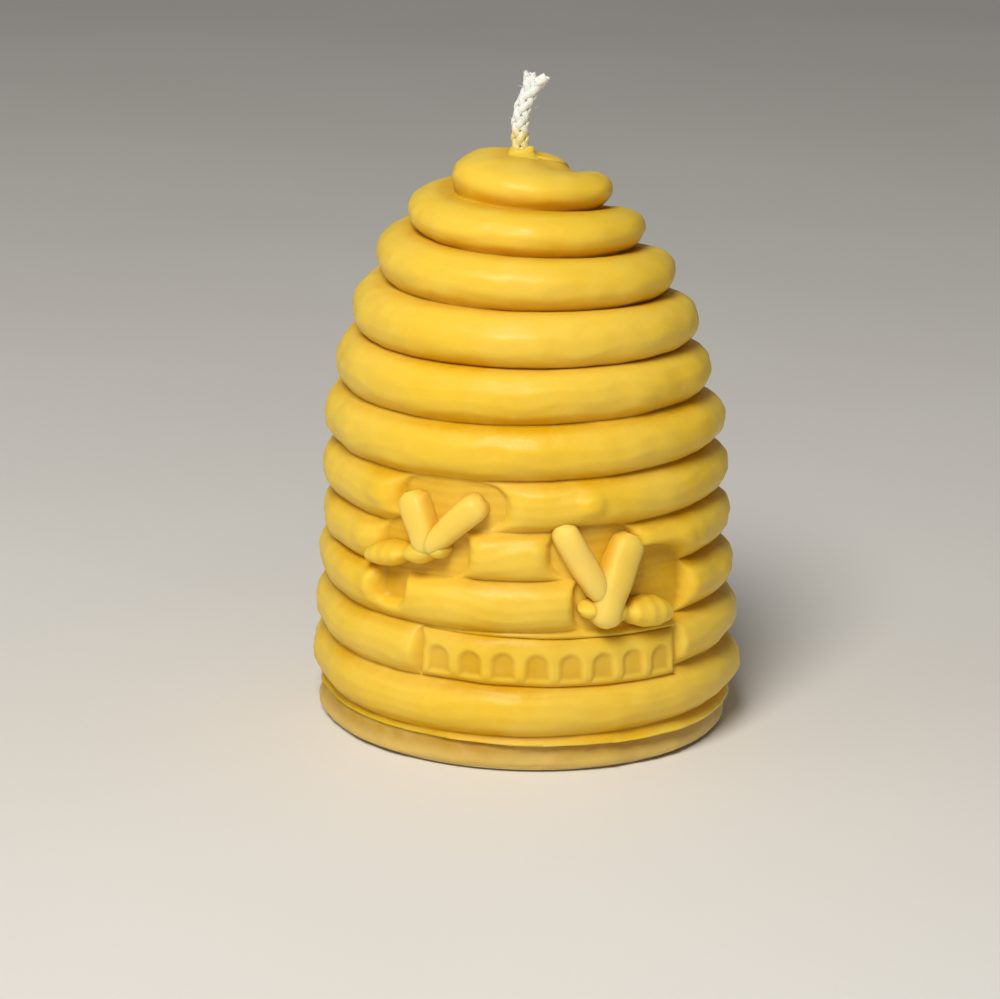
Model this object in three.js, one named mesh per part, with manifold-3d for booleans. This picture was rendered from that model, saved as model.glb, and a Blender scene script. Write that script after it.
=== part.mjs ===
// A beeswax candle cast in the shape of a coiled straw beehive (a skep).
// One casting carries the coil, two bees and an entrance panel in relief, a paler layer was
// poured last at the base, and a cotton wick runs through the whole height.
// Millimetres, +Z up, the bees face -Y.  Azimuth is in degrees from the front, positive to +X.

import * as THREE from 'three';
import { mergeVertices } from 'three/addons/utils/BufferGeometryUtils.js';
import Module from 'manifold-3d';

const wasm = await Module();
wasm.setup();

// ---------------------------------------------------------------- driving dimensions

const GAP = 0.3; // clearance that keeps neighbouring solids apart
const SHORTEST_EDGE = 0.01; // slivers left by a cut are merged below this
const LEAN = THREE.MathUtils.degToRad(1.5); // the casting leans to -X on its level base
const LEAN_OFFSET = 0.45; // sideways shift that keeps the leaning casting centred

// Each turn of the rope, from the top down: the radius and height of its crown where it crosses the
// front, how far it widens and rises from the left side of the candle to its right (the rest of its
// change comes at the back), the half height of its section, and how far the groove above it stands
// out from the line between the centres of the two turns that meet there.
const TURNS = [
  [4.4, 81.2, 4, -1.6, 3.3, 1.2], [11.75, 79.6, 2.3, -2.4, 2.8, 1.2], [17.5, 74.2, 0.5, -2.7, 3, 0.6],
  [21.9, 67.8, 0.4, -3.1, 3.7, 0.5], [25.35, 60.3, 0.3, -1.9, 4.3, 0.8], [27.3, 52.9, -0.5, -1.5, 4.5, 1.4],
  [29, 45.2, 0.2, -0.9, 4.5, 2], [29.6, 37.9, 0.3, -0.3, 4.5, 2.4], [30, 30.8, 0.5, -0.2, 4.5, 2.6],
  [30.7, 23.9, 0.1, -1.3, 4.5, 2.6], [31.2, 16.4, 0.4, -1.4, 4.5, 2.6], [31.6, 8.8, 0.4, -1.8, 4.5, 2.6],
  [31.4, 1.2, 0.4, -1.8, 4.5, 2.6], [31, -6.4, 0.4, -1.8, 4.5, 2.6],
];
const FIRST_TURN = -1;
const LAST_TURN = FIRST_TURN + TURNS.length - 1;

const ROPE_DEPTH = 4.6; // radial half width of the rope's section
const BACK_DROP = 1.2; // the coil sags by up to this much behind its right side
const RIGHT_NARROWER = 0.12; // share by which the rope is thinner on the right side
const RIGHT_GROOVE = 0.9; // and how much deeper the grooves are there
const OPENING = [0, 0.25]; // the groove opens from the apex between these turns
const DOME_SHARE = 0.12; // on the dome, a groove lies this much nearer to its lower turn
const ROWS = 5; // facets across the rope
const COLUMNS = 40; // facets round the candle
const CORE_DEPTH = 2.4; // the core lies this far below the crowns of the rope
const CORE_TURNS = 11; // the core runs down to this turn
const CORE_FOOT = -6; // and straight on to this height
const CORE_FRONT = { low: 16, high: 47, back: 16 }; // heights, and how far in front of the axis
const DOME_TOP = 83.4;
const BUTTON = { radius: 6.7, offset: -0.3, foot: 80.3 }; // the flat start of the coil round the wick
const COIL_FOOT = -9; // the coil is closed below, on the axis, at this height
const DOME_DEPTH = 1; // of the core's top below the top of the dome

const LIP_RADIUS = 30.1;
const LIP_HEIGHT = 3.9;
const LIP_ROUNDING = 0.7;

const WICK_RADIUS = 1.35;
const WICK_OFFSET = -0.85; // the wick stands a little to the left of the coil's axis
// Centreline of the wick above the wax: sideways place and height.
const WICK_TIP = [[-0.85, 86.5], [-0.8, 88.2], [-0.45, 90], [0.25, 91.7], [0.85, 93.1], [1.35, 94.6]];
const COLLAR_RADIUS = 2.4;
const COLLAR_TOP = 84.9;
const COLLAR_SEAT = 82.9; // height of the flat that the collar stands on

const PANEL = { from: -30.5, to: 45.5, low: 12.4, high: 19.6, thickness: 1.4, depth: 2.2 };
const PANEL_SLOPE = THREE.MathUtils.degToRad(2.2); // it follows the coil, down to the right
const NICHE = { first: -24.4, pitch: 9.1, count: 8, width: 3.5, height: 3.9, depth: 0.6, sill: 0.8 };

// Each blob of a bee: azimuth, height, half length, half height, half depth, tilt in degrees.
const LEFT_BEE = {
  pockets: [[-27, 35, 8.2, 6.2, 4.5, 0], [-37, 30, 8.6, 3.2, 4.2, 8]],
  body: [[-42, 29.8, 4.1, 1.8, 2.2, 8], [-31.5, 30.9, 2.0, 1.7, 2.0, 8], [-25.6, 31.5, 1.5, 1.3, 1.8, 8]],
  wings: {
    rear: [-31.6, 36.4, 5.0, 1.6, 1.8, 112],
    front: [-20.6, 36.2, 5.8, 1.6, 1.8, 43],
  },
};
const RIGHT_BEE = {
  pockets: [[20, 30.5, 8.0, 7.6, 4.5, 0], [33, 23.6, 8.8, 4.0, 4.2, -8]],
  body: [[34.5, 22.0, 4.3, 2.2, 2.4, -8], [23.6, 22.9, 2.2, 2.0, 2.1, -8], [17.4, 23.4, 1.6, 1.5, 1.8, -8]],
  wings: {
    rear: [26.4, 28.2, 6.2, 2.1, 1.9, 61],
    front: [14.6, 30.2, 7.6, 1.7, 1.9, 116],
  },
};

const WAX = { color: 0xe3b93a, roughness: 0.42, metalness: 0 };
const PALE_WAX = { color: 0xe2c877, roughness: 0.45, metalness: 0 };
const RELIEF_WAX = { color: 0xecc95a, roughness: 0.42, metalness: 0 };
const COTTON = { color: 0xf1eee4, roughness: 0.95, metalness: 0 };

// ---------------------------------------------------------------- solids and meshes

// A closed three.js geometry as a manifold solid.
function solidOf(geometry) {
  const bare = geometry.index ? geometry.toNonIndexed() : geometry.clone();
  bare.deleteAttribute('normal');
  bare.deleteAttribute('uv');
  const merged = mergeVertices(bare, 1e-4);
  const vertProperties = new Float32Array(merged.attributes.position.array);
  const triVerts = new Uint32Array(merged.index.array);
  return new wasm.Manifold(new wasm.Mesh({ numProp: 3, vertProperties, triVerts }));
}

// A manifold solid as a three.js geometry.
function geometryOf(solid) {
  const { numProp, vertProperties, triVerts } = solid.getMesh();
  const positions = new Float32Array((vertProperties.length / numProp) * 3);
  for (let i = 0; i < positions.length / 3; i += 1) {
    positions.set(vertProperties.subarray(i * numProp, i * numProp + 3), i * 3);
  }
  const geometry = new THREE.BufferGeometry();
  geometry.setAttribute('position', new THREE.BufferAttribute(positions, 3));
  geometry.setIndex(new THREE.BufferAttribute(new Uint32Array(triVerts), 1));
  geometry.computeVertexNormals();
  return geometry;
}

function unite(solids) {
  return solids.reduce((whole, solid) => whole.add(solid));
}

// The main part of a cut, without the crumbs that it leaves.
function largest(solid) {
  return solid.decompose().sort((a, b) => b.volume() - a.volume())[0];
}

// The casting stands upright while it is modelled, and then leans as a whole.
function leaned(geometry) {
  const lean = new THREE.Matrix4().makeRotationY(-LEAN);
  const shift = new THREE.Matrix4().makeTranslation(LEAN_OFFSET, 0, 0);
  return geometry.clone().applyMatrix4(shift.multiply(lean));
}

function meshOf(name, solid, finish) {
  const clean = solid.simplify(SHORTEST_EDGE);
  const mesh = new THREE.Mesh(geometryOf(clean), new THREE.MeshStandardMaterial(finish));
  mesh.name = name;
  return mesh;
}

function lathe(points, segments) {
  return new THREE.LatheGeometry(points.map(([r, z]) => new THREE.Vector2(r, z)), segments)
    .rotateX(Math.PI / 2);
}

// ---------------------------------------------------------------- the coil

// A smooth curve through two of the values of every turn.
function curveOf(first, second) {
  return new THREE.SplineCurve(TURNS.map((turn) => new THREE.Vector2(turn[first], turn[second])));
}

const crownCurve = curveOf(0, 1);
const changeCurve = curveOf(2, 3);
const sectionCurve = curveOf(4, 5); // half height and reach of the groove
const apex = new THREE.Vector2(0, DOME_TOP);

function along(curve, turn) {
  return curve.getPoint(THREE.MathUtils.clamp((turn - FIRST_TURN) / (TURNS.length - 1), 0, 1));
}

// Radius and height of the rope's centre after so many turns, counted from the front.
function ropeCentre(turn) {
  const halfTurn = along(crownCurve, turn + 0.5).sub(along(crownCurve, turn - 0.5)).divideScalar(2);
  const skew = along(changeCurve, turn).sub(halfTurn).divideScalar(2);
  const centre = along(crownCurve, turn).addScaledVector(skew, Math.sin(turn * 2 * Math.PI));
  const behind = THREE.MathUtils.clamp((THREE.MathUtils.euclideanModulo(turn, 1) - 0.25) / 0.5, 0, 1);
  const sag = BACK_DROP * behind * (1 - behind) ** 2 * (27 / 4);
  return centre.sub(new THREE.Vector2(ROPE_DEPTH, sag));
}

// Half height of the rope's section and reach of the groove above it.
function section(turn) {
  const right = Math.max(Math.sin(turn * 2 * Math.PI), 0) ** 2;
  const { x: halfHeight, y: reach } = along(sectionCurve, turn);
  return { halfHeight: halfHeight * (1 - RIGHT_NARROWER * right), reach: reach - RIGHT_GROOVE * right };
}

// How far the spiral has opened from the apex.
function opened(turn) {
  return THREE.MathUtils.smoothstep(turn, ...OPENING);
}

// The groove above a turn, where it meets the turn before.
function groove(turn) {
  const upper = ropeCentre(turn - 1);
  const lower = ropeCentre(turn);
  const normal = new THREE.Vector2(upper.y - lower.y, lower.x - upper.x).normalize();
  const share = 0.5 + DOME_SHARE * (1 - THREE.MathUtils.smoothstep(turn, 0.25, 1.5));
  const bottom = upper.lerp(lower, share).addScaledVector(normal, section(turn).reach);
  return apex.clone().lerp(bottom, opened(turn));
}

// A point of the rope's outside, from the groove above it (across 0) to the one below (1).
// The rope grows out of the apex, and dies away in its last turn.
function ropeSurface(turn, across) {
  const centre = ropeCentre(turn);
  const halfAxes = new THREE.Vector2(ROPE_DEPTH, section(turn).halfHeight);
  const ends = [groove(turn), groove(turn + 1)].map((end) => end.sub(centre).divide(halfAxes));
  const bearings = ends.map((end) => Math.atan2(end.y, end.x));
  const bearing = THREE.MathUtils.lerp(...bearings, across);
  const reach = across < 0.5 ? ends[0].length() : ends[1].length();
  const endness = Math.abs(2 * across - 1) ** 4;
  const point = new THREE.Vector2(Math.cos(bearing), Math.sin(bearing))
    .multiplyScalar(THREE.MathUtils.lerp(1, reach, endness))
    .multiply(halfAxes)
    .add(centre);
  const faded = THREE.MathUtils.clamp(turn - LAST_TURN + 1, 0, 1);
  return apex.clone().lerp(point, opened(turn + 1)).lerp(groove(turn), faded);
}

// The whole coil as one closed surface.  Each row follows the rope, so that after a full circle
// it meets the row one turn further down.
function coil() {
  const rows = [() => new THREE.Vector2(0, COIL_FOOT)];
  rows.push((column) => ropeSurface(LAST_TURN - 1 + column / COLUMNS, 1));
  for (let turn = LAST_TURN - 1; turn >= FIRST_TURN - 1; turn -= 1) {
    for (let row = ROWS - 1; row >= 0; row -= 1) {
      rows.push((column) => ropeSurface(turn + column / COLUMNS, row / ROWS));
    }
  }
  const geometry = new THREE.LatheGeometry(rows.map(() => new THREE.Vector2(1, 0)), COLUMNS);
  const { position } = geometry.attributes;
  for (let column = 0; column <= COLUMNS; column += 1) {
    const azimuth = (2 * Math.PI * column) / COLUMNS;
    rows.forEach((row, i) => {
      const { x: radius, y: height } = row(column);
      const index = column * rows.length + i;
      position.setXYZ(index, radius * Math.sin(azimuth), -radius * Math.cos(azimuth), height);
    });
  }
  return solidOf(leaned(geometry));
}

// The flat start of the coil, which stands a little higher than the first turn's right side.
function button() {
  const { radius, offset, foot } = BUTTON;
  const rim = Array.from({ length: 13 }, (_, i) => {
    const away = 1 - (i / 12) ** 2;
    return [radius * away, foot + (DOME_TOP - foot) * Math.cbrt(1 - away ** 3)];
  });
  const turned = lathe([[0, foot - 3], [radius - 1.5, foot - 3], ...rim], COLUMNS);
  return solidOf(leaned(turned.translate(offset, 0, 0)));
}

// The core that shows where the rope is left out: the curve of the crowns, set in by its depth.
function coreProfile(depth) {
  const wall = [];
  for (let turn = CORE_TURNS; turn >= 0.5; turn -= 0.5) {
    const crown = along(crownCurve, turn);
    const ahead = along(crownCurve, turn + 0.1).sub(along(crownCurve, turn - 0.1)).normalize();
    wall.push([crown.x + depth * ahead.y, crown.y - depth * ahead.x]);
  }
  const top = DOME_TOP - DOME_DEPTH - depth;
  return [[0, CORE_FOOT], [wall[0][0], CORE_FOOT], ...wall, [0, top]];
}

function core(depth) {
  const turned = lathe(coreProfile(depth), COLUMNS);
  return solidOf(leaned(turned));
}

// The front of the candle, the only side where the rope is left out.
function frontBlock() {
  const { low, high, back } = CORE_FRONT;
  const depth = 40 - back;
  const block = new THREE.BoxGeometry(80, depth, high - low);
  return solidOf(leaned(block.translate(0, -back - depth / 2, (low + high) / 2)));
}

// ---------------------------------------------------------------- relief on the front

function crownRadiusAt(height) {
  const crown = TURNS.findIndex(([, z]) => z <= height);
  const [below, above] = [TURNS[crown], TURNS[crown - 1]];
  return THREE.MathUtils.mapLinear(height, below[1], above[1], below[0], above[0]);
}

// An ellipsoid on the surface of the coil, grown by a margin all round.
function blob([azimuth, height, halfLength, halfHeight, halfDepth, tilt], margin = 0, inset = 0.9) {
  const { degToRad } = THREE.MathUtils;
  const geometry = new THREE.SphereGeometry(1, 16, 10);
  geometry.scale(halfLength + margin, halfDepth + margin, halfHeight + margin);
  geometry.rotateY(-degToRad(tilt));
  geometry.translate(0, -(crownRadiusAt(height) - inset), height);
  geometry.rotateZ(degToRad(azimuth));
  return solidOf(leaned(geometry));
}

function beeBody(bee, margin = 0) {
  return unite(bee.body.map((part) => blob(part, margin)));
}

function beePockets(bee) {
  return unite(bee.pockets.map((pocket) => blob(pocket, 0, -0.6)));
}

// Everything of a bee, grown by the gap, as the room that it needs in the coil.
function beeRoom(bee) {
  const wings = Object.values(bee.wings).map((wing) => blob(wing, GAP));
  return unite([beeBody(bee, GAP), ...wings]);
}

// A bee's body and wings, each its own solid with its back on the core.
function beeMeshes(side, bee, backing) {
  const rear = blob(bee.wings.rear).subtract(backing);
  const front = blob(bee.wings.front).subtract(backing).subtract(blob(bee.wings.rear, GAP));
  const wingRoom = blob(bee.wings.rear, GAP).add(blob(bee.wings.front, GAP));
  const body = beeBody(bee).subtract(backing).subtract(wingRoom);
  return [
    meshOf(`${side}_bee_body`, largest(body), RELIEF_WAX),
    meshOf(`${side}_bee_rear_wing`, largest(rear), RELIEF_WAX),
    meshOf(`${side}_bee_front_wing`, largest(front), RELIEF_WAX),
  ];
}

// A band of the front between two azimuths, as a solid between two radii and two heights.
function frontBand(from, to, inner, outer, low, high) {
  const { degToRad } = THREE.MathUtils;
  const start = degToRad(from - 90);
  const end = degToRad(to - 90);
  const outline = new THREE.Shape();
  outline.absarc(0, 0, outer, start, end, false);
  outline.absarc(0, 0, inner, end, start, true);
  const band = new THREE.ExtrudeGeometry(outline, {
    depth: high - low,
    bevelEnabled: false,
    curveSegments: 18,
  });
  return band.translate(0, 0, low);
}

function panelFloor() {
  return crownRadiusAt((PANEL.low + PANEL.high) / 2) - PANEL.depth;
}

// Turns a piece of the panel about the panel's middle, to lie along the coil.
function alongCoil(geometry) {
  const middle = (PANEL.low + PANEL.high) / 2;
  return geometry.translate(0, 0, -middle).rotateY(PANEL_SLOPE).translate(0, 0, middle);
}

function panelRoom() {
  const { from, to, low, high } = PANEL;
  const room = frontBand(from, to, panelFloor() - GAP, 40, low, high);
  return solidOf(leaned(alongCoil(room)));
}

// A round-topped block, which cuts a shallow arched niche in the panel.
function nicheCutter(azimuth) {
  const { width, height, depth, sill } = NICHE;
  const half = width / 2;
  const outline = new THREE.Shape();
  outline.moveTo(-half, 0);
  outline.lineTo(half, 0);
  outline.lineTo(half, height - half);
  outline.absarc(0, height - half, half, 0, Math.PI, false);
  outline.closePath();
  const block = new THREE.ExtrudeGeometry(outline, { depth: 3, bevelEnabled: false, curveSegments: 8 });
  block.rotateX(Math.PI / 2);
  block.translate(0, -(panelFloor() + PANEL.thickness - depth), PANEL.low + GAP + sill);
  block.rotateZ(THREE.MathUtils.degToRad(azimuth));
  return solidOf(leaned(alongCoil(block)));
}

function entrancePanel() {
  const { from, to, low, high, thickness } = PANEL;
  const floor = panelFloor();
  const sideGap = THREE.MathUtils.radToDeg(GAP / floor);
  const plate = frontBand(from + sideGap, to - sideGap, floor, floor + thickness, low + GAP, high - GAP);
  const cutters = Array.from({ length: NICHE.count }, (_, i) => nicheCutter(NICHE.first + i * NICHE.pitch));
  return solidOf(leaned(alongCoil(plate))).subtract(unite(cutters));
}

// ---------------------------------------------------------------- wick, collar and base

function wickPath() {
  const straight = [0.1, 20, 40, 60, 75, 84].map((z) => new THREE.Vector3(WICK_OFFSET, 0, z));
  const free = WICK_TIP.map(([x, z]) => new THREE.Vector3(x, 0, z));
  return new THREE.CatmullRomCurve3([...straight, ...free]);
}

function wickGeometry() {
  const section = new THREE.Shape().absarc(0, 0, WICK_RADIUS, 0, 2 * Math.PI, false);
  return new THREE.ExtrudeGeometry(section, {
    steps: 36,
    curveSegments: 5,
    extrudePath: wickPath(),
  });
}

// The hole that the wick fills, straight through the casting and its base.
function wickBore() {
  const bore = new THREE.CylinderGeometry(WICK_RADIUS + GAP, WICK_RADIUS + GAP, 100, 12);
  return solidOf(leaned(bore.rotateX(Math.PI / 2).translate(WICK_OFFSET, 0, 40)));
}

// The little mound of wax that climbs the wick.
function collarGeometry() {
  const bottom = COLLAR_SEAT + GAP;
  const inner = WICK_RADIUS + GAP;
  const middle = bottom + 0.35 * (COLLAR_TOP - bottom);
  const profile = [
    [inner, bottom], [COLLAR_RADIUS, bottom], [COLLAR_RADIUS * 0.86, middle],
    [inner + 0.25, COLLAR_TOP - 0.15], [inner, COLLAR_TOP], [inner, bottom],
  ];
  return lathe(profile, 24).translate(WICK_OFFSET, 0, 0);
}

// The room over the collar's seat.
function collarRoom() {
  const radius = COLLAR_RADIUS + GAP;
  const room = new THREE.CylinderGeometry(radius, radius, 4, 24).rotateX(Math.PI / 2);
  return solidOf(leaned(room.translate(WICK_OFFSET, 0, COLLAR_SEAT + 2)));
}

// The base layer: a level disc with both edges rounded.
function lipGeometry() {
  const inner = LIP_RADIUS - LIP_ROUNDING;
  const corner = LIP_ROUNDING * (1 - Math.SQRT1_2);
  const profile = [
    [0, 0], [inner, 0], [LIP_RADIUS - corner, corner], [LIP_RADIUS, LIP_ROUNDING],
    [LIP_RADIUS - 0.3, LIP_HEIGHT - LIP_ROUNDING], [LIP_RADIUS - 0.3 - corner, LIP_HEIGHT - corner],
    [inner - 0.3, LIP_HEIGHT], [0, LIP_HEIGHT],
  ];
  return lathe(profile, 48);
}

// Everything that is poured away below the top of the base layer.
function belowLip() {
  const depth = 20;
  const block = new THREE.BoxGeometry(90, 90, depth);
  return solidOf(block.translate(0, 0, LIP_HEIGHT + GAP - depth / 2));
}

// ---------------------------------------------------------------- the candle

function skepBody() {
  const rope = [LEFT_BEE, RIGHT_BEE].reduce(
    (solid, bee) => solid.subtract(beePockets(bee)).subtract(beeRoom(bee)),
    coil(),
  );
  const floors = core(CORE_DEPTH).intersect(frontBlock());
  const body = rope.add(button()).add(floors).subtract(panelRoom()).subtract(wickBore());
  return largest(body.subtract(collarRoom()).subtract(belowLip()));
}

function candle() {
  const group = new THREE.Group();
  const backing = core(CORE_DEPTH - GAP);
  group.add(
    meshOf('skep_body', skepBody(), WAX),
    meshOf('entrance_panel', entrancePanel(), RELIEF_WAX),
    meshOf('base_lip', solidOf(lipGeometry()).subtract(wickBore()), PALE_WAX),
    meshOf('wick_collar', solidOf(leaned(collarGeometry())), WAX),
    meshOf('wick', solidOf(leaned(wickGeometry())), COTTON),
    ...beeMeshes('left', LEFT_BEE, backing),
    ...beeMeshes('right', RIGHT_BEE, backing),
  );
  return group;
}

export default candle();
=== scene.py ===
# A beeswax candle cast in the shape of a coiled straw beehive, built round its CAD frame.
# Blender works in metres.  The wax is shaped in millimetres in the casting's own upright frame:
# +Z up, the bees face -Y, azimuth in degrees from the front, positive to +X.  It then leans as a
# whole on its level base, as the CAD model does.

import math

import bmesh
import bpy
import numpy as np
from mathutils import Matrix, Vector


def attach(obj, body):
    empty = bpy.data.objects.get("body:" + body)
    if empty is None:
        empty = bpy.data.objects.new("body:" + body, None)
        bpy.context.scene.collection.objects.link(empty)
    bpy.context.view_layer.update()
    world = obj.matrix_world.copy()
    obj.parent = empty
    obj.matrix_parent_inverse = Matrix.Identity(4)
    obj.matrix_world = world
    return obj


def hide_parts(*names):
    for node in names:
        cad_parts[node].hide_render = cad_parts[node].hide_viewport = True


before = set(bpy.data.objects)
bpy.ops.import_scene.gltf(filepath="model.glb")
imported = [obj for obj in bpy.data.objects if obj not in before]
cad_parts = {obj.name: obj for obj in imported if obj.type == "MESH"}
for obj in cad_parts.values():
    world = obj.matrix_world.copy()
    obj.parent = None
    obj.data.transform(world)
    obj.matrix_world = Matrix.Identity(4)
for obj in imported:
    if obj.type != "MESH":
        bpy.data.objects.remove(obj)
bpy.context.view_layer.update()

# ---------------------------------------------------------------- driving dimensions (mm)

MM = 0.001
LEAN = math.radians(1.5)
LEAN_OFFSET = 0.45

# Each turn of the rope, from the top down: the radius and height of its crown where it crosses the
# front, how far it widens and rises from the left side of the candle to its right (the rest of its
# change comes at the back), the half height of its section, and how far the groove above it stands
# out from the line between the centres of the two turns that meet there.
TURNS = np.array([
    (4.4, 81.2, 4, -1.6, 3.3, 1.2), (11.75, 79.6, 2.3, -2.4, 2.8, 1.2),
    (17.5, 74.2, 0.5, -2.7, 3, 0.6), (21.9, 67.8, 0.4, -3.1, 3.7, 0.5),
    (25.35, 60.3, 0.3, -1.9, 4.3, 0.8), (27.3, 52.9, -0.5, -1.5, 4.5, 1.4),
    (29, 45.2, 0.2, -0.9, 4.5, 2), (29.6, 37.9, 0.3, -0.3, 4.5, 2.4),
    (30, 30.8, 0.5, -0.2, 4.5, 2.6), (30.7, 23.9, 0.1, -1.3, 4.5, 2.6),
    (31.2, 16.4, 0.4, -1.4, 4.5, 2.6), (31.6, 8.8, 0.4, -1.8, 4.5, 2.6),
    (31.4, 1.2, 0.4, -1.8, 4.5, 2.6), (31, -6.4, 0.4, -1.8, 4.5, 2.6),
])
FIRST_TURN = -1
LAST_TURN = FIRST_TURN + len(TURNS) - 1

ROPE_DEPTH = 4.6  # radial half width of the rope's section
BACK_DROP = 1.2  # the coil sags by up to this much behind its right side
RIGHT_NARROWER = 0.12  # share by which the rope is thinner on the right side
RIGHT_GROOVE = 0.9  # and how much deeper the grooves are there
OPENING = (0, 0.25)  # the groove opens from the apex between these turns
DOME_SHARE = 0.12  # on the dome, a groove lies this much nearer to its lower turn
DOME_TOP = 83.4
# The flat start of the coil, and how softly it blends into the rope.
BUTTON = {"radius": 6.7, "offset": -0.3, "foot": 80.1, "top": 83.2, "blend": 0.3}
FAR_BELOW = -100  # stands for no button
SOFT_TOP = {"radius": 9.5, "low": 76, "passes": 5}  # where the casting's creases are softened
COLUMNS = 540  # columns of the mesh round the candle
ROWS = 24  # rows of the mesh across the rope
WELD = 2e-6  # metres

# The slight waviness of cast wax: wavelength, seed and height of each layer.
WAVINESS = [(26, 3, 0.17), (11, 4, 0.13), (4.5, 5, 0.07)]
# Faint ridges along the rope, like its straw.
STRAW = {"ridges": 5, "drift": 0.35, "wavelength": 14, "seed": 6, "height": 0.045}

LIP_HEIGHT = 3.9

WICK_OFFSET = -0.85
WICK_FOOT = 0.12  # the wick is cut off level here
WICK_TIP = [(-0.85, 86.5), (-0.8, 88.2), (-0.45, 90.0), (0.25, 91.7), (0.85, 93.1), (1.35, 94.6)]

# Where the rope is left out for a bee: azimuth, height, half length, half height, tilt.
POCKETS = [
    (-22.5, 38.2, 8.6, 3.6, -2), (-31.0, 31.3, 7.4, 4.2, 0), (-41.0, 26.0, 2.6, 3.0, 0),
    (19.5, 31.4, 6.8, 3.9, 0), (36.5, 25.6, 7.8, 5.6, -4), (20.0, 24.0, 3.8, 4.0, 0),
]
# Knobs of wax, most of them where the rope ends at a pocket: azimuth, height, radius, rise.
KNOBS = [
    (18.1, 38.8, 1.8, 0.9), (-45.5, 38.6, 2.3, 0.5), (-53.5, 32.0, 2.0, 0.5), (-47.5, 25.4, 2.2, 0.5),
    (50.3, 31.2, 2.0, 0.5), (49.0, 25.0, 2.2, 0.5), (-33.2, 16.6, 1.6, 0.35),
]
POCKET_DEPTH = 2.5
POCKET_EDGE = 1.5

# The bees in relief: rows of azimuth, height, half width and rise above the seat, along each piece.
RELIEF_SEAT = 2.3  # the seat lies this far below the crowns
BEES = {
    "left_bee_body": [
        (-50.2, 28.9, 0.4, 1.6), (-48.4, 29.1, 1.35, 2.9), (-45.0, 29.4, 1.8, 3.4), (-41.0, 29.8, 1.85, 3.5),
        (-37.4, 30.2, 1.5, 3.3), (-35.2, 30.5, 1.05, 2.8), (-33.2, 30.7, 1.5, 3.2), (-30.8, 30.9, 1.75, 3.4),
        (-28.6, 31.1, 1.4, 3.1), (-27.2, 31.3, 0.95, 2.7), (-25.6, 31.5, 1.25, 3.0), (-23.6, 31.7, 1.1, 2.8),
        (-22.2, 31.8, 0.3, 1.6),
    ],
    "left_bee_rear_wing": [
        (-28.6, 30.7, 0.7, 2.4), (-29.0, 31.8, 1.6, 3.2), (-30.8, 34.2, 2.0, 3.2), (-33.2, 36.6, 2.15, 3.0),
        (-35.0, 38.3, 2.05, 2.7), (-35.7, 39.2, 0.9, 1.8),
    ],
    "left_bee_front_wing": [
        (-28.8, 31.2, 0.7, 2.4), (-27.0, 32.2, 1.5, 3.3), (-23.0, 34.4, 1.85, 3.2), (-18.4, 36.6, 2.05, 3.0),
        (-14.2, 38.4, 1.95, 2.7), (-12.6, 39.1, 0.9, 1.8),
    ],
    "right_bee_body": [
        (43.2, 21.2, 0.4, 1.6), (41.4, 21.4, 1.6, 3.0), (38.0, 21.7, 2.2, 3.6), (34.0, 22.0, 2.25, 3.7),
        (29.8, 22.4, 1.8, 3.4), (27.6, 22.6, 1.2, 2.9), (25.6, 22.8, 1.8, 3.3), (23.2, 22.9, 2.05, 3.5),
        (20.8, 23.1, 1.6, 3.2), (19.4, 23.2, 1.05, 2.8), (17.4, 23.4, 1.3, 2.9), (15.5, 23.5, 1.05, 2.6),
        (14.2, 23.6, 0.3, 1.6),
    ],
    "right_bee_rear_wing": [
        (20.8, 20.9, 0.9, 2.6), (21.3, 22.0, 2.1, 3.8), (22.8, 24.8, 2.3, 3.8), (25.2, 27.6, 2.4, 3.6),
        (27.8, 30.2, 2.45, 3.3), (30.2, 32.4, 2.25, 2.9), (31.2, 33.4, 1.0, 1.9),
    ],
    "right_bee_front_wing": [
        (21.4, 24.6, 0.7, 2.4), (20.2, 25.8, 1.6, 3.2), (17.0, 28.8, 1.95, 3.3), (13.6, 31.8, 2.0, 3.1),
        (10.6, 34.6, 1.9, 2.7), (9.4, 35.8, 0.9, 1.8),
    ],
}
ABDOMEN_RINGS = 5

# The entrance panel: a stretch of one turn that is cut back, with a row of arched niches.
PANEL = {"from": -30.5, "to": 45.5, "low": 12.4, "high": 19.6, "floor": 2.2, "plate": 1.4}
PANEL_SLOPE = math.radians(2.2)
PANEL_END = 1.4  # length over which the recess runs out at its ends
PANEL_ROUNDING = 2.4  # width of the plate's rounded border
PANEL_ROLL = 1.3  # and how far the border rolls back
PANEL_SUNK = 0.9  # the plate's sides reach this far into the wax
NICHE = {
    "first": -24.4, "pitch": 9.1, "count": 8,
    "width": 3.5, "height": 3.9, "depth": 0.5, "sill": 1.1,
}


# ---------------------------------------------------------------- small helpers

def smoothstep(low, high, value):
    t = np.clip((value - low) / (high - low), 0, 1)
    return t * t * (3 - 2 * t)


def lerp(a, b, t):
    return a + (b - a) * t


def catmull_rom(table, place):
    """A smooth curve through the rows of a table, at a place counted in rows."""
    table = np.asarray(table, float)
    last = len(table) - 1
    place = np.clip(place, 0, last)
    start = np.minimum(np.floor(place).astype(int), last - 1)
    t = place - start
    if table.ndim > 1:
        t = t[..., None]
    before, here = table[np.maximum(start - 1, 0)], table[start]
    ahead, beyond = table[start + 1], table[np.minimum(start + 2, last)]
    leave, arrive = (ahead - before) / 2, (beyond - here) / 2
    cubic = 2 * here - 2 * ahead + leave + arrive
    square = -3 * here + 3 * ahead - 2 * leave - arrive
    return cubic * t**3 + square * t**2 + leave * t + here


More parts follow.
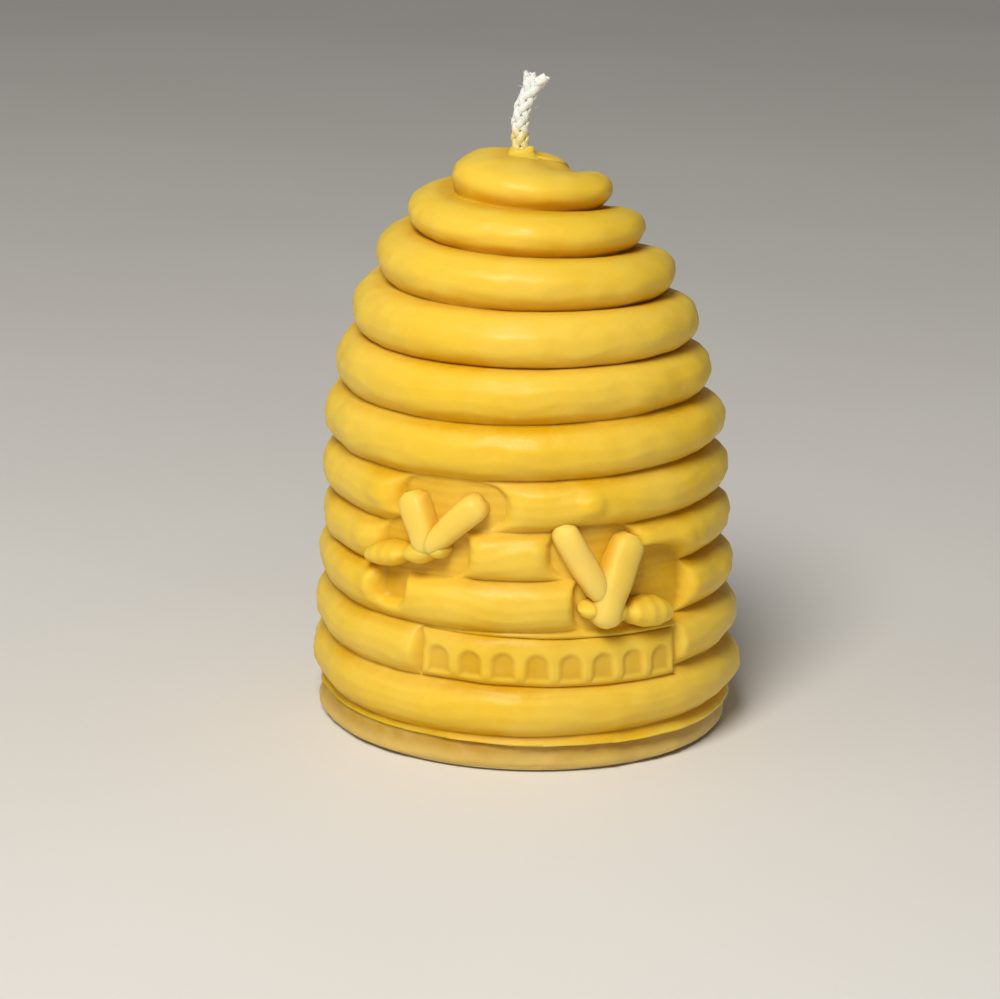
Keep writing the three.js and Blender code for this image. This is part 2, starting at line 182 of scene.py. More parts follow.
def ripple(points, wavelength, seed, waves=9):
    """Smooth random unevenness, about -1 to 1, at places given as an (..., 3) array."""
    rng = np.random.default_rng(seed)
    total = np.zeros(points.shape[:-1])
    for _ in range(waves):
        direction = rng.normal(size=3)
        direction *= rng.uniform(0.7, 1.4) * 2 * math.pi / (wavelength * np.linalg.norm(direction))
        total += np.sin(points @ direction + rng.uniform(0, 2 * math.pi))
    return total / math.sqrt(waves)


def leaned(points):
    """Places in the upright frame (mm), as places in Blender (m)."""
    x, y, z = np.moveaxis(np.asarray(points, float), -1, 0)
    across = x * math.cos(LEAN) - z * math.sin(LEAN) + LEAN_OFFSET
    up = x * math.sin(LEAN) + z * math.cos(LEAN)
    return np.stack([across, y, up], -1) * MM


def on_candle(azimuth, radius, height):
    """Places in the upright frame, from azimuths in degrees."""
    angle = np.radians(azimuth)
    return np.stack([radius * np.sin(angle), -radius * np.cos(angle), height + 0 * radius], -1)


def mesh_piece(name, points, faces, material, smooth=True):
    """A piece from places in metres and its faces, as one mesh object."""
    mesh = bpy.data.meshes.new(name)
    mesh.from_pydata([tuple(p) for p in np.asarray(points).reshape(-1, 3)], [], faces)
    turned = bmesh.new()
    turned.from_mesh(mesh)
    bmesh.ops.recalc_face_normals(turned, faces=turned.faces[:])
    turned.to_mesh(mesh)
    turned.free()
    mesh.update()
    mesh.polygons.foreach_set("use_smooth", [smooth] * len(mesh.polygons))
    mesh.materials.append(material)
    piece = bpy.data.objects.new(name, mesh)
    bpy.context.scene.collection.objects.link(piece)
    return piece


def store(piece, name, values):
    """Keeps one number for each vertex, for the material to read."""
    attribute = piece.data.attributes.new(name, "FLOAT", "POINT")
    attribute.data.foreach_set("value", np.asarray(values, np.float32).ravel())


def grid_faces(across, along, closed):
    """Quads of a grid of across x along vertices, numbered along each line across."""
    faces = []
    for i in range(along - 1):
        for j in range(across if closed else across - 1):
            k = (j + 1) % across
            faces.append((i * across + j, i * across + k, (i + 1) * across + k, (i + 1) * across + j))
    return faces


def unit(vectors):
    return vectors / np.maximum(np.linalg.norm(vectors, axis=-1, keepdims=True), 1e-9)


def loft(rings):
    """Closed skin over rings of places, (rings, around, 3), drawn to a point at each end."""
    count, around, _ = rings.shape
    faces = grid_faces(around, count, closed=True)
    first, last = count * around, count * around + 1
    faces += [(k, (k + 1) % around, first) for k in range(around)]
    faces += [(first - around + k, first - around + (k + 1) % around, last) for k in range(around)]
    points = np.concatenate([rings.reshape(-1, 3), rings[:1].mean(1), rings[-1:].mean(1)])
    return points, faces


def joined(skins):
    """Several skins as one set of places and faces."""
    points, faces, start = [], [], 0
    for own, own_faces in skins:
        points.append(own)
        faces += [tuple(i + start for i in face) for face in own_faces]
        start += len(own)
    return np.concatenate(points), faces


def unevenness(points):
    """How far the wavy wax stands out from its even shape."""
    return sum(ripple(points, wavelength, seed) * height for wavelength, seed, height in WAVINESS)


# ---------------------------------------------------------------- the coil

def at_turn(turn, first, second):
    """Two neighbouring values of the table of turns, after so many turns from the front."""
    return catmull_rom(TURNS[:, [first, second]], turn - FIRST_TURN)


def crown(turn):
    return at_turn(turn, 0, 1)


def rope_centre(turn):
    """Radius and height of the rope's centre after so many turns, counted from the front."""
    half_turn = (crown(turn + 0.5) - crown(turn - 0.5)) / 2
    skew = (at_turn(turn, 2, 3) - half_turn) / 2
    centre = crown(turn) + skew * np.sin(2 * math.pi * turn)[..., None]
    behind = np.clip((turn % 1 - 0.25) / 0.5, 0, 1)
    sag = BACK_DROP * behind * (1 - behind)**2 * 27 / 4
    return centre - np.stack([ROPE_DEPTH + 0 * sag, sag], -1)


def section(turn):
    """Half height of the rope's section and reach of the groove above it."""
    right = (np.maximum(np.sin(2 * math.pi * turn), 0)**2)[..., None]
    narrower = lerp(1, np.array([1 - RIGHT_NARROWER, 1]), right)
    return at_turn(turn, 4, 5) * narrower - right * [0, RIGHT_GROOVE]


def opened(turn):
    """How far the spiral has opened from the apex, 0 to 1."""
    return smoothstep(*OPENING, turn)[..., None]


def groove(turn):
    """The groove above a turn, where it meets the turn before."""
    upper, lower = rope_centre(turn - 1), rope_centre(turn)
    run = upper - lower
    normal = np.stack([run[..., 1], -run[..., 0]], -1)
    normal /= np.maximum(np.linalg.norm(normal, axis=-1, keepdims=True), 1e-9)
    share = 0.5 + DOME_SHARE * (1 - smoothstep(0.25, 1.5, turn))[..., None]
    bottom = lerp(upper, lower, share) + normal * section(turn)[..., 1:]
    return lerp(np.array([0, DOME_TOP]), bottom, opened(turn))


def rope_surface(turn, across):
    """The rope's outside, from the groove above it (across 0) to the one below (1)."""
    turn, across = np.broadcast_arrays(turn, across)
    centre = rope_centre(turn)
    axes = np.stack([np.full(turn.shape, ROPE_DEPTH), section(turn)[..., 0]], -1)
    first = (groove(turn) - centre) / axes
    last = (groove(turn + 1) - centre) / axes
    bearings = [np.arctan2(end[..., 1], end[..., 0]) for end in (first, last)]
    bearing = lerp(*bearings, across)
    reach = np.linalg.norm(np.where((across < 0.5)[..., None], first, last), axis=-1)
    stretch = lerp(1, reach, np.abs(2 * across - 1) ** 4)
    outline = np.stack([np.cos(bearing), np.sin(bearing)], -1) * stretch[..., None]
    point = centre + outline * axes
    faded = np.clip(turn - LAST_TURN + 1, 0, 1)[..., None]
    return lerp(lerp(np.array([0, DOME_TOP]), point, opened(turn + 1)), groove(turn), faded)


def crown_radius_at(height):
    """Radius of the candle's outer outline at a height."""
    return np.interp(height, TURNS[::-1, 1], TURNS[::-1, 0])


def pocket_mask(azimuth, height):
    """1 where the rope is left out for a bee, 0 on the rope, rounded over at the edge."""
    mask = np.zeros(np.shape(azimuth))
    for centre, middle, half_length, half_up, tilt in POCKETS:
        along = np.radians(azimuth - centre) * crown_radius_at(middle)
        up = height - middle
        turn = math.radians(tilt)
        u = (along * math.cos(turn) + up * math.sin(turn)) / half_length
        v = (up * math.cos(turn) - along * math.sin(turn)) / half_up
        inside = (1 - (np.abs(u) ** 3 + np.abs(v) ** 3) ** (1 / 3)) * min(half_length, half_up)
        step = np.clip((inside + POCKET_EDGE) / POCKET_EDGE, 0, 1)
        mask = np.maximum(mask, 1 - np.sqrt(1 - step**2))
    return mask


def panel_frame(azimuth, height):
    """Distances along and up from the middle of the panel, which slopes with the coil."""
    middle = (PANEL["low"] + PANEL["high"]) / 2
    along = np.radians(azimuth) * crown_radius_at(middle)
    sideways = np.sin(np.radians(azimuth)) * crown_radius_at(middle)
    return along, height - middle + sideways * math.tan(PANEL_SLOPE)


def panel_mask(azimuth, height):
    """1 inside the panel's recess, 0 outside."""
    _, up = panel_frame(azimuth, height)
    half = (PANEL["high"] - PANEL["low"]) / 2
    rows = smoothstep(half + 0.5, half - 0.3, np.abs(up))
    radius = crown_radius_at(PANEL["low"])
    edge = np.minimum(azimuth - PANEL["from"], PANEL["to"] - azimuth)
    step = np.clip(np.radians(edge) * radius / PANEL_END + 1, 0, 1)
    return rows * (1 - np.sqrt(1 - step**2))


def knobs(azimuth, height):
    """Rise of the small knobs over the rope."""
    total = np.zeros(np.shape(azimuth))
    for centre, middle, radius, rise in KNOBS:
        along = np.radians(azimuth - centre) * crown_radius_at(middle)
        total += rise * np.exp(-((along**2 + (height - middle) ** 2) / radius**2) ** 1.5)
    return total


def with_button(points):
    """Heights of the top, raised where the flat start of the coil stands higher."""
    away = np.hypot(points[..., 0] - BUTTON["offset"], points[..., 1]) / BUTTON["radius"]
    dome = np.clip(1 - away**3, 0, 1) ** (1 / 3)
    raised_part = BUTTON["foot"] + (BUTTON["top"] - BUTTON["foot"]) * dome
    button = np.where(away < 1, raised_part, FAR_BELOW)
    blend = BUTTON["blend"]
    higher = np.maximum(points[..., 2], button)
    lower = np.minimum(points[..., 2], button)
    return higher + blend * np.log1p(np.exp((lower - higher) / blend)) * smoothstep(1, 0.8, away)


def skep_points():
    """Places on the casting, (COLUMNS, lines, 3), and how deep in a groove each lies (0 to 1), as painted
    shade.
    """
    lines = ROWS * (LAST_TURN - FIRST_TURN + 1)
    column = np.arange(COLUMNS)[:, None] / COLUMNS
    line = np.arange(lines + 1)[None, :]
    turn = FIRST_TURN - 1 + line // ROWS + column
    across = (line % ROWS) / ROWS + 0 * column
    profile = rope_surface(turn, across)
    radius, height = profile[..., 0], profile[..., 1]
    azimuth = (column * 360 + 180) % 360 - 180 + 0 * radius

    floor = crown_radius_at(height) - POCKET_DEPTH
    hollow = pocket_mask(azimuth, height)
    radius = lerp(radius + knobs(azimuth, height), floor, hollow)
    recess = panel_mask(azimuth, height)
    radius = lerp(radius, crown_radius_at(height) - PANEL["floor"], recess)

    # Painted shade: darker deep in the grooves, and on the sunk floors of the pockets.
    depth = smoothstep(0.3, 0.9, np.abs(2 * across - 1))
    depth = np.maximum(depth * (1 - hollow), 0.7 * hollow)
    points = on_candle(azimuth, radius, height)
    points[..., 2] = with_button(points)
    return points, depth, turn, across


def soften_top(mesh):
    """Rounds off the creases where the coil starts."""
    reach, low = SOFT_TOP["radius"] * MM, SOFT_TOP["low"] * MM
    apex_x = leaned([0, 0, DOME_TOP])[0]
    top = [v for v in mesh.verts if v.co.z > low and math.hypot(v.co.x - apex_x, v.co.y) < reach]
    every_way = {"use_axis_x": True, "use_axis_y": True, "use_axis_z": True}
    for _ in range(SOFT_TOP["passes"]):
        bmesh.ops.smooth_vert(mesh, verts=top, factor=0.5, **every_way)


def skep_body(material):
    points, depth, turn, across = skep_points()
    columns, lines = depth.shape
    faces = []
    for i in range(columns):
        last_column = i == columns - 1
        for j in range(lines - 1 - (ROWS if last_column else 0)):
            here = i * lines + j
            there = j + ROWS if last_column else here + lines
            faces.append((here, here + 1, there + 1, there))
    drift = STRAW["drift"] * ripple(points, STRAW["wavelength"], STRAW["seed"])
    straw = np.sin(2 * math.pi * (across * STRAW["ridges"] + drift)) * STRAW["height"]
    swell = (unevenness(points) + straw) * smoothstep(FIRST_TURN - 1, FIRST_TURN, turn)
    outward = unit(points * np.array([1, 1, 0]))
    rise = smoothstep(14, 6, np.hypot(points[..., 0], points[..., 1]))[..., None]
    direction = lerp(outward, np.array([0, 0, 1.0]), rise)
    piece = mesh_piece("skep_casting", leaned(points + direction * swell[..., None]), faces, material)
    # The painted shade of the grooves and pockets, for the wax's colour to read.
    store(piece, "groove", depth)

    mesh = bmesh.new()
    mesh.from_mesh(piece.data)
    bmesh.ops.remove_doubles(mesh, verts=mesh.verts, dist=WELD)
    soften_top(mesh)
    cut = bmesh.ops.bisect_plane(
        mesh, geom=mesh.verts[:] + mesh.edges[:] + mesh.faces[:], dist=1e-7,
        plane_co=(0, 0, LIP_HEIGHT * MM), plane_no=(0, 0, 1), clear_inner=True)
    rim = [e for e in cut["geom_cut"] if isinstance(e, bmesh.types.BMEdge)]
    bmesh.ops.contextual_create(mesh, geom=rim)
    bmesh.ops.recalc_face_normals(mesh, faces=mesh.faces[:])
    mesh.to_mesh(piece.data)
    mesh.free()
    return piece


# ---------------------------------------------------------------- relief on the front

def raised(name, rows, material):
    """A rounded ridge of wax along the front of the candle, with its underside sunk in."""
    count, around = 90, 40
    place = np.linspace(0, len(rows) - 1, count)
    azimuth, height, half_width, rise = catmull_rom(rows, place).T
    is_body = name.endswith("body")
    if is_body:
        rings = np.cos(2 * math.pi * ABDOMEN_RINGS * place / 5)
        swell = 1 + 0.022 * rings * smoothstep(0.4, 1, place) * smoothstep(4.9, 4, place)
        half_width, rise = half_width * swell, rise * swell
    seat = on_candle(azimuth, crown_radius_at(height) - RELIEF_SEAT, 0 * azimuth)
    seat[:, 2] = height
    along = unit(np.gradient(seat, axis=0))
    outward = unit(seat * np.array([1, 1, 0]))
    across = unit(np.cross(outward, along))
    turn = np.arange(around) * 2 * math.pi / around
    fullness = 0.9 if is_body else 0.42
    up = np.where(np.sin(turn) > 0, np.abs(np.sin(turn)) ** fullness, 0.35 * np.sin(turn))
    side = np.cos(turn)[None, :, None] * (half_width[:, None, None] * across[:, None, :])
    lift = up[None, :, None] * (rise[:, None, None] * outward[:, None, :])
    points, faces = loft(seat[:, None, :] + side + lift)
    points = points + unit(points * np.array([1, 1, 0])) * unevenness(points)[:, None]
    piece = mesh_piece(name, leaned(points), faces, material)
    # Painted shade: the ridge darkens down its flanks towards the wax and on its sunk underside.
    low = np.append(np.tile(1 - np.clip(up, 0, 1), count), [1, 1])
    store(piece, "groove", low)
    return piece


def niche_mask(azimuth, up):
    """1 inside the panel's arched niches, 0 outside, with soft edges."""
    middle = (PANEL["low"] + PANEL["high"]) / 2
    nearest = np.clip(np.round((azimuth - NICHE["first"]) / NICHE["pitch"]), 0, NICHE["count"] - 1)
    aside = np.radians(azimuth - NICHE["first"] - nearest * NICHE["pitch"]) * crown_radius_at(middle)
    half = NICHE["width"] / 2
    above_sill = up + (PANEL["high"] - PANEL["low"]) / 2 - NICHE["sill"]
    above_spring = above_sill - (NICHE["height"] - half)
    straight = np.maximum(np.abs(aside) - half, -above_sill)
    arch = np.where(above_spring > 0, np.hypot(aside, above_spring) - half, straight)
    return smoothstep(0.45, -0.65, arch)


def entrance_panel(material):
    """A plate that lies along the coil, rounded at its border and sunk into the wax."""
    columns, rows = 300, 60
    middle = (PANEL["low"] + PANEL["high"]) / 2
    half = (PANEL["high"] - PANEL["low"]) / 2
    azimuth = np.linspace(PANEL["from"] + 0.2, PANEL["to"] - 0.2, columns)[:, None] + np.zeros(rows)
    up = np.linspace(-half + 0.1, half - 0.1, rows) + 0 * azimuth
    sideways = np.sin(np.radians(azimuth)) * crown_radius_at(middle)
    height = middle + up - sideways * math.tan(PANEL_SLOPE)
    from_end = np.minimum(azimuth - azimuth[0], azimuth[-1] - azimuth)
    ends = np.radians(from_end) * crown_radius_at(middle)
    border = np.minimum(ends, half - 0.1 - np.abs(up))
    corner = np.clip(1 - border / PANEL_ROUNDING, 0, 1)
    rolled = PANEL["plate"] - PANEL_ROLL * (1 - np.sqrt(1 - corner**2))
    top = rolled - NICHE["depth"] * niche_mask(azimuth, up)
    base = crown_radius_at(height) - PANEL["floor"]
    under = base - PANEL_SUNK
    front = on_candle(azimuth, np.where(border < 1e-6, under, base + top), 0 * azimuth)
    back = on_candle(azimuth, under - 0.1, 0 * azimuth)
    front[..., 2] = height
    back[..., 2] = height
    front += unit(front * np.array([1, 1, 0])) * unevenness(front)[..., None]
    points, faces = loft(np.concatenate([front, back[:, ::-1]], axis=1))
    piece = mesh_piece("entrance_panel", leaned(points), faces, material)
    # Painted shade in the arched niches and on the rolled border, and full shade on the hidden back.
    low = np.maximum(niche_mask(azimuth, up), smoothstep(0.1, 1, corner))
    low = np.concatenate([low, np.ones_like(up)], axis=1).ravel()
    store(piece, "groove", np.append(0.8 * low, [1, 1]))
    return piece


# ---------------------------------------------------------------- base, collar and wick

RINGS_PER_ROW = 6  # rings of the mesh between two rows of a profile


def turned_skin(profile, columns):
    """Rings round the axis through a smooth profile of (radius, height), bottom to top."""
    spans = len(profile) - 1
    outline = catmull_rom(profile, np.linspace(0, spans, spans * RINGS_PER_ROW + 1))
    angle = np.arange(columns) * 2 * math.pi / columns
    around = np.stack([np.sin(angle), -np.cos(angle)], -1)
    flat = outline[:, None, :1] * around[None]
    return np.concatenate([flat, np.broadcast_to(outline[:, None, 1:], flat.shape[:2] + (1,))], -1)


LIP_PROFILE = [
    (0.01, 0.35), (1.4, 0.3), (2.3, 0.12), (3.4, 0.0), (16, 0.0), (28.3, 0.0), (29.35, 0.08), (29.85, 0.4),
    (30.1, 0.95), (30.05, 1.7), (29.8, 2.6), (29.55, 3.4), (29.3, 4.0), (28.6, 4.3), (26, 4.35), (0.01, 4.35),
]


def base_lip(material):
    rings = turned_skin(LIP_PROFILE, 360)
    radius = np.hypot(rings[..., 0], rings[..., 1])
    edge = smoothstep(24, 29, radius) * smoothstep(0, 0.5, rings[..., 2])
    outward = unit(rings * np.array([1, 1, 0]))
    swell = (unevenness(rings) + 0.06 * ripple(rings, 2.6, seed=8)) * edge
    rings = rings + outward * swell[..., None]
    points, faces = loft(rings)
    piece = mesh_piece("base_lip", points * MM, faces, material)
    # Painted shade: the lip darkens towards its top, where it meets the coil.
    store(piece, "groove", np.append(smoothstep(0.4, 3.6, rings[..., 2]).ravel(), [0, 1]))
    return piece


COLLAR_PROFILE = [
    (0.01, 81.6), (3.2, 81.9), (3.4, 82.7), (2.6, 83.1),
    (1.95, 83.45), (1.55, 83.9), (1.2, 84.3), (0.01, 84.2),
]
COLLAR_NUB = (1.4, 83.9)  # a drop on its right side: sideways place from the wick, height


def wick_collar(material):
    """The little mound of wax that climbs the wick."""
    rings = turned_skin(COLLAR_PROFILE, 96)
    outward = unit(rings * np.array([1, 1, 0]))
    climb = smoothstep(83, 84.4, rings[..., 2])
    beyond = smoothstep(0.2, 1.4, np.hypot(rings[..., 0], rings[..., 1]))
    rings = rings + outward * (0.12 * ripple(rings, 3.2, seed=12) * beyond)[..., None]
    away = np.linalg.norm(rings - np.array([COLLAR_NUB[0], -0.5, COLLAR_NUB[1]]), axis=-1)
    rings = rings + np.array([0.5, -0.1, 0.4]) * (np.exp(-(away / 0.7) ** 2))[..., None]
    rings[..., 2] += climb * 0.25 * ripple(rings, 3.0, seed=13)
    points, faces = loft(rings + np.array([WICK_OFFSET, 0, 0]))
    piece = mesh_piece("wick_collar", leaned(points), faces, material)
    store(piece, "groove", np.full(len(points), 0.1))
    return piece


STRANDS = 8
BRAID_RADIUS = 0.93
BRAID_WEAVE = 0.12  # how far a strand moves in and out as it crosses the others
BRAID_PITCH = 9.0
STRAND_HALF_WIDTH = 0.52
STRAND_HALF_DEPTH = 0.3
CORE_RADIUS = 0.72  # the filling inside the braid
WICK_STEP = 0.2  # length of one facet along the wick
FRAYED = 3.2  # length of the loosened end
TUFT_STRANDS = 3  # strands that lean away to the right
RIGHT_TUFT = (1.3, 0.0, 0.0)
LEFT_TUFT = (-0.55, 0.0, 0.15)
LOOSE_FIBRES = 150


def wick_path():
    """Evenly spaced places along the wick, and its direction and two directions across it."""
    straight = [(WICK_OFFSET, z) for z in (WICK_FOOT, 20, 40, 60, 75, 81, 84)]
    rows = np.array(straight + WICK_TIP)
    dense = catmull_rom(rows, np.linspace(0, len(rows) - 1, 4000))
    length = np.concatenate([[0], np.cumsum(np.linalg.norm(np.diff(dense, axis=0), axis=1))])
    even = np.linspace(0, length[-1], int(length[-1] / WICK_STEP))
    x, z = np.interp(even, length, dense[:, 0]), np.interp(even, length, dense[:, 1])
    path = np.stack([x, 0 * x, z], -1)
    ahead = unit(np.gradient(path, axis=0))
    back = np.broadcast_to([0.0, 1.0, 0.0], path.shape)
    return even, path, ahead, back, np.cross(ahead, back)


def thread(centres, out, half_width, half_depth, around):
    """A flat thread along its centre line; out is the direction of its thin side."""
    ahead = unit(np.gradient(centres, axis=0))
    side = unit(np.cross(ahead, out))
    turn = np.arange(around) * 2 * math.pi / around
    wide = np.cos(turn)[None, :, None] * (half_width[:, None] * side)[:, None, :]
    deep = np.sin(turn)[None, :, None] * (half_depth[:, None] * out)[:, None, :]
    return loft(centres[:, None, :] + wide + deep)


def wick(material):
    """A braided cotton wick, frayed where it was cut off."""
    rng = np.random.default_rng(21)
    even, path, ahead, back, right = wick_path()
    loosened = np.clip((even - even[-1] + FRAYED) / FRAYED, 0, 1)
    strands = [(1 if k % 2 else -1, (k // 2) * math.pi / 2) for k in range(STRANDS)]
    angles = [way * 2 * math.pi * even / BRAID_PITCH + start for way, start in strands]
    rightmost = np.argsort([np.sin(angle[-1]) for angle in angles])[:TUFT_STRANDS]
    skins = []
    for k, (way, _) in enumerate(strands):
        angle = angles[k]
        weave = way * BRAID_WEAVE * np.cos(8 * math.pi * even / BRAID_PITCH)
        radius = BRAID_RADIUS + weave + 0.04 * np.sin(even * 2.3 + k) * loosened
        out = np.cos(angle)[:, None] * back + np.sin(angle)[:, None] * right
        centres = path + out * radius[:, None]
        lean = RIGHT_TUFT if k in rightmost else LEFT_TUFT
        drift = np.array(lean) + rng.normal(size=3) * 0.08
        spread = (loosened**1.5)[:, None]
        centres = centres + (drift - 0.3 * out) * spread
        keep = len(even) - int(rng.uniform(0, 2.5))
        taper = (1 + 0.35 * loosened)[:keep]
        size = (STRAND_HALF_WIDTH * taper, STRAND_HALF_DEPTH * taper)
        skins.append(thread(centres[:keep], out[:keep], *size, 10))
    inside = slice(0, len(even) - 4)
    core_size = np.full(len(even), CORE_RADIUS)[inside]
    skins.append(thread(path[inside], back[inside], core_size, core_size, 10))
    free = np.searchsorted(path[:, 2], 86.2)
    for _ in range(LOOSE_FIBRES):
        near_end = rng.uniform() < 0.6
        start = int(rng.uniform(len(even) - 16 if near_end else free, len(even) - 2))
        angle = rng.uniform(0, 2 * math.pi)
        out = np.cos(angle) * back[start] + np.sin(angle) * right[start]
        shift = (rng.uniform(-0.4, 1.2) * right[start]) * loosened[start] ** 2
        reach = rng.uniform(0.3, 0.9)
        t = np.linspace(0, 1, 9)[:, None]
        heading = unit(ahead[start] * rng.uniform(0.2, 1.4) + out * rng.uniform(0.3, 1.1))
        curl = rng.normal(size=3) * 0.35
        begin = path[start] + out * rng.uniform(0.5, 1.05) + shift
        centres = begin + heading * reach * t + curl * reach * t**2
        size = 0.032 * (1 - 0.5 * t[:, 0])
        skins.append(thread(centres, unit(np.cross(heading, curl) + 0 * centres), size, size, 5))
    points, faces = joined(skins)
    points[:, 2] = np.maximum(points[:, 2], WICK_FOOT)
    piece = mesh_piece("wick", leaned(points), faces, material)
    soaked = smoothstep(87.6, 85.6, points[:, 2] + 0.35 * ripple(points, 1.6, seed=23))
    store(piece, "waxed", soaked)
    return piece


# ---------------------------------------------------------------- materials

def linear(code):
    """A #rrggbb colour as linear RGBA."""
    parts = [int(code[i:i + 2], 16) / 255 for i in (1, 3, 5)]
    return [p / 12.92 if p <= 0.04045 else ((p + 0.055) / 1.055) ** 2.4 for p in parts] + [1]


class Nodes:
    """Short calls to build a material's node tree."""

    def __init__(self, name):
        self.material = bpy.data.materials.new(name)
        self.material.use_nodes = True
        self.tree = self.material.node_tree
        self.shader = self.tree.nodes["Principled BSDF"]
        self.place = self.add("ShaderNodeTexCoord").outputs["Object"]

    def add(self, kind, **settings):
        node = self.tree.nodes.new(kind)
        for key, value in settings.items():
            setattr(node, key, value)
        return node

    def link(self, source, target):
        self.tree.links.new(source, target)

    def noise(self, scale, detail=3, roughness=0.5):
        node = self.add("ShaderNodeTexNoise")
        node.inputs["Scale"].default_value = scale
        node.inputs["Detail"].default_value = detail
        node.inputs["Roughness"].default_value = roughness
        self.link(self.place, node.inputs["Vector"])
        return node.outputs["Fac"]

    def attribute(self, name):
        return self.add("ShaderNodeAttribute", attribute_name=name).outputs["Fac"]

    def ramp(self, value, low, high, to_low=0.0, to_high=1.0):
        node = self.add("ShaderNodeMapRange", interpolation_type="SMOOTHSTEP")
        limits = {"From Min": low, "From Max": high, "To Min": to_low, "To Max": to_high}
        for key, number in limits.items():
            node.inputs[key].default_value = number
        self.link(value, node.inputs["Value"])
        return node.outputs["Result"]

    def mix(self, fraction, first, second):
        node = self.add("ShaderNodeMix", data_type="RGBA")
        # A mix of colours has its fraction in socket 0 and its two colours in sockets 6 and 7.
        for key, value in {0: fraction, 6: first, 7: second}.items():
            socket = node.inputs[key]
            if isinstance(value, bpy.types.NodeSocket):
                self.link(value, socket)
            else:
                socket.default_value = value
        return node.outputs[2]

    def bump(self, height, distance, below=None):
        node = self.add("ShaderNodeBump")
        node.inputs["Distance"].default_value = distance
        self.link(height, node.inputs["Height"])
        if below is not None:
            self.link(below, node.inputs["Normal"])
        return node.outputs["Normal"]

    def set(self, **values):
        for key, value in values.items():
            self.shader.inputs[key.replace("_", " ")].default_value = value


def wax(name, crown_colour, shaded_groove_colour, bloom_colour):
    n = Nodes(name)
    depth = n.attribute("groove")
    cloud = n.ramp(n.noise(55, 4), 0.35, 0.65)
    mottle = n.ramp(n.noise(420, 5, 0.6), 0.4, 0.75)
    # Painted shade: the groove attribute moves the colour from the crown colour on the lit crowns to a darker
    # colour in the shaded grooves and recesses.
    base = n.mix(n.ramp(depth, 0, 1), linear(crown_colour), linear(shaded_groove_colour))
    pale = n.mix(n.ramp(cloud, 0, 1, 0, 0.35), base, linear(bloom_colour))
    worn = n.mix(n.ramp(mottle, 0, 1, 0, 0.16), pale, linear(bloom_colour))
    n.link(worn, n.shader.inputs["Base Color"])
    n.link(n.ramp(n.noise(160, 4), 0.3, 0.7, 0.38, 0.52), n.shader.inputs["Roughness"])
    soft = n.bump(n.noise(260, 4, 0.55), 0.0002)
    n.link(n.bump(n.noise(1500, 3, 0.5), 0.00002, below=soft), n.shader.inputs["Normal"])
    n.set(Subsurface_Weight=0.6, Subsurface_Scale=0.002, IOR=1.44, Specular_IOR_Level=0.32)
    n.shader.inputs["Subsurface Radius"].default_value = (1.0, 0.8, 0.4)
    return n.material


def cotton():
    n = Nodes("cotton")
    soaked = n.attribute("waxed")
    fibre = n.noise(5200, 4, 0.6)
    dusk = n.ramp(n.noise(900, 3), 0.3, 0.7)
    clean = n.mix(dusk, linear("#e9e7de"), linear("#f6f5ef"))
    n.link(n.mix(soaked, clean, linear("#f0dc96")), n.shader.inputs["Base Color"])
    n.link(n.ramp(soaked, 0, 1, 0.92, 0.45), n.shader.inputs["Roughness"])
    n.link(n.bump(fibre, 0.00006), n.shader.inputs["Normal"])
    n.set(Subsurface_Weight=0.25, Subsurface_Scale=0.0006, Sheen_Weight=0.25)
    return n.material


# ---------------------------------------------------------------- stage, light and camera

VIEW_PITCH = math.radians(15.6)
VIEW_TARGET = 31.65  # height of the point of the candle's axis that the camera is level with
VIEW_DISTANCE = 517.3
VIEW_SIDE = -3.75  # the camera stands this far to the left of the candle's axis
LENS = 126
SENSOR = 36


def add_camera():
    camera = bpy.data.cameras.new("camera")
    camera.lens = LENS
    camera.sensor_width = SENSOR
    camera.sensor_fit = "HORIZONTAL"
    eye = bpy.data.objects.new("camera", camera)
    bpy.context.scene.collection.objects.link(eye)
    away = Vector((0, -math.cos(VIEW_PITCH), math.sin(VIEW_PITCH))) * VIEW_DISTANCE
    place = (Vector((VIEW_SIDE, 0, VIEW_TARGET)) + away) * MM
    upright = Matrix.Translation(place) @ Matrix.Rotation(math.pi / 2 - VIEW_PITCH, 4, "X")
    lean = Matrix.Translation((LEAN_OFFSET * MM, 0, 0)) @ Matrix.Rotation(-LEAN, 4, "Y")
    eye.matrix_world = lean @ upright
    bpy.context.scene.camera = eye


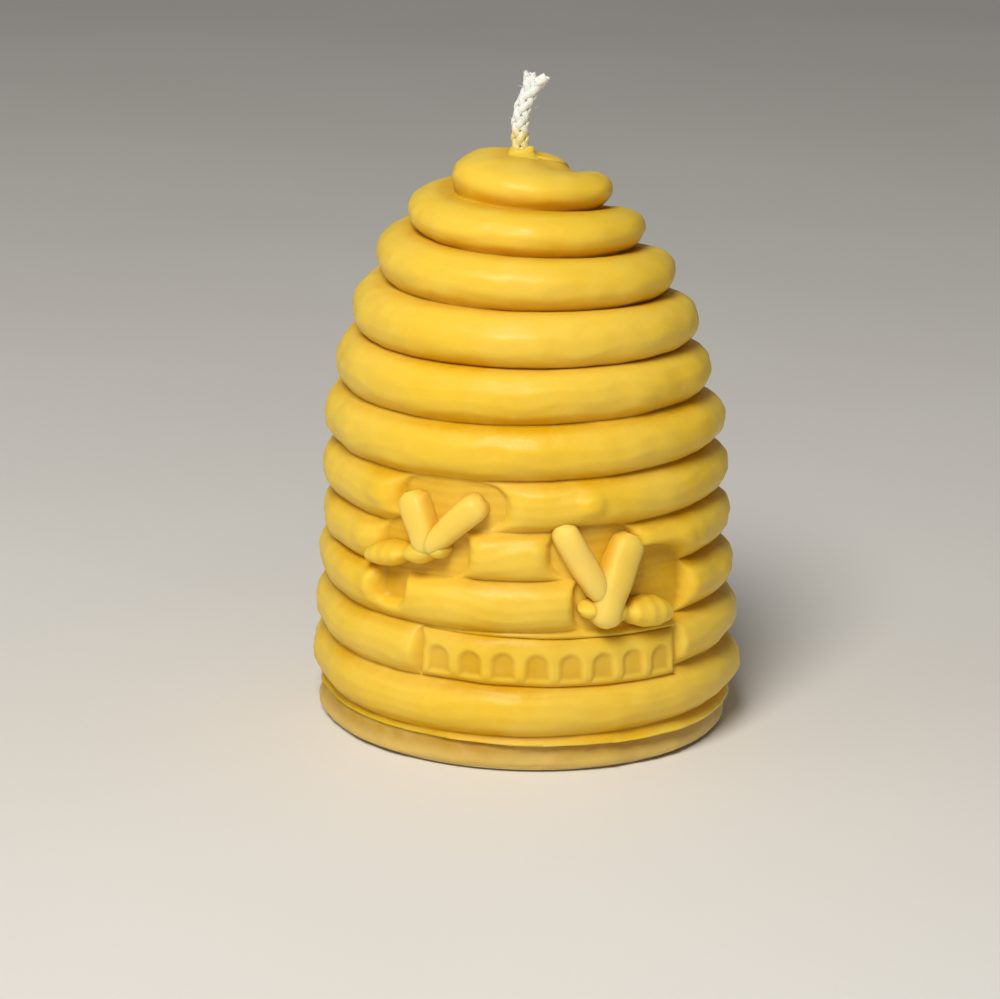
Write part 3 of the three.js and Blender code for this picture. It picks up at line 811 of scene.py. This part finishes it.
def add_light(name, azimuth, elevation, distance, size, watts, colour=(1, 1, 1)):
    light = bpy.data.lights.new(name, "AREA")
    light.shape = "DISK"
    light.size = size
    light.energy = watts
    light.color = colour
    lamp = bpy.data.objects.new(name, light)
    around, up = math.radians(azimuth), math.radians(elevation)
    away = Vector((math.sin(around) * math.cos(up), -math.cos(around) * math.cos(up), math.sin(up)))
    lamp.location = Vector((0, 0, 0.04)) + away * distance
    lamp.rotation_euler = away.to_track_quat("Z", "Y").to_euler()
    bpy.context.scene.collection.objects.link(lamp)


def floor_material():
    n = Nodes("pale_floor")
    tint = n.ramp(n.noise(6, 3), 0.3, 0.7)
    n.link(n.mix(tint, linear("#e6e3de"), linear("#eae8e4")), n.shader.inputs["Base Color"])
    n.set(Roughness=0.75)
    return n.material


def add_stage():
    size, below = 4.0, 0.0004
    around = [(-size, -size), (size, -size), (size, size), (-size, size)]
    corners = [(x, y, -below) for x, y in around]
    floor = mesh_piece("floor", corners, [(0, 1, 2, 3)], floor_material(), smooth=False)
    world = bpy.data.worlds.new("studio")
    world.use_nodes = True
    backdrop = world.node_tree.nodes["Background"]
    backdrop.inputs["Color"].default_value = (1.0, 0.98, 0.95, 1)
    backdrop.inputs["Strength"].default_value = 0.15
    bpy.context.scene.world = world
    bpy.context.scene.view_settings.view_transform = "Standard"
    warm = (1, 0.97, 0.92)
    add_light("key", azimuth=-18, elevation=47, distance=0.9, size=0.4, watts=7.6, colour=warm)
    add_light("fill", azimuth=-80, elevation=30, distance=1.2, size=0.7, watts=0.5)


# ---------------------------------------------------------------- the candle

add_camera()
add_stage()

# The second colour of each wax is a darker one, painted as shade in its grooves, recesses and flanks.
WAX = wax("beeswax", "#edc537", "#dba80a", "#f2d463")
# A paler copy of the same wax for the bees' wings: painted light where the raised wings catch the lamp.
LIT_RELIEF_WAX = wax("lit_relief_wax", "#f2cf58", "#e2ae24", "#f5d97e")
PALE = wax("pale_beeswax", "#d8b860", "#bd9434", "#e2c880")
COTTON = cotton()

pieces = {
    "skep_body": (skep_body(WAX), "wax"),
    "entrance_panel": (entrance_panel(WAX), "wax"),
    "base_lip": (base_lip(PALE), "pale_wax"),
    "wick_collar": (wick_collar(WAX), "wax"),
    "wick": (wick(COTTON), "cotton"),
}
for node, rows in BEES.items():
    # The wings take the paler copy of the wax as painted light; the bee bodies take the plain wax.
    pieces[node] = (raised(node, rows, WAX if node.endswith("body") else LIT_RELIEF_WAX), "wax")
for node, (piece, slot) in pieces.items():
    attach(piece, "root")
    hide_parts(node)
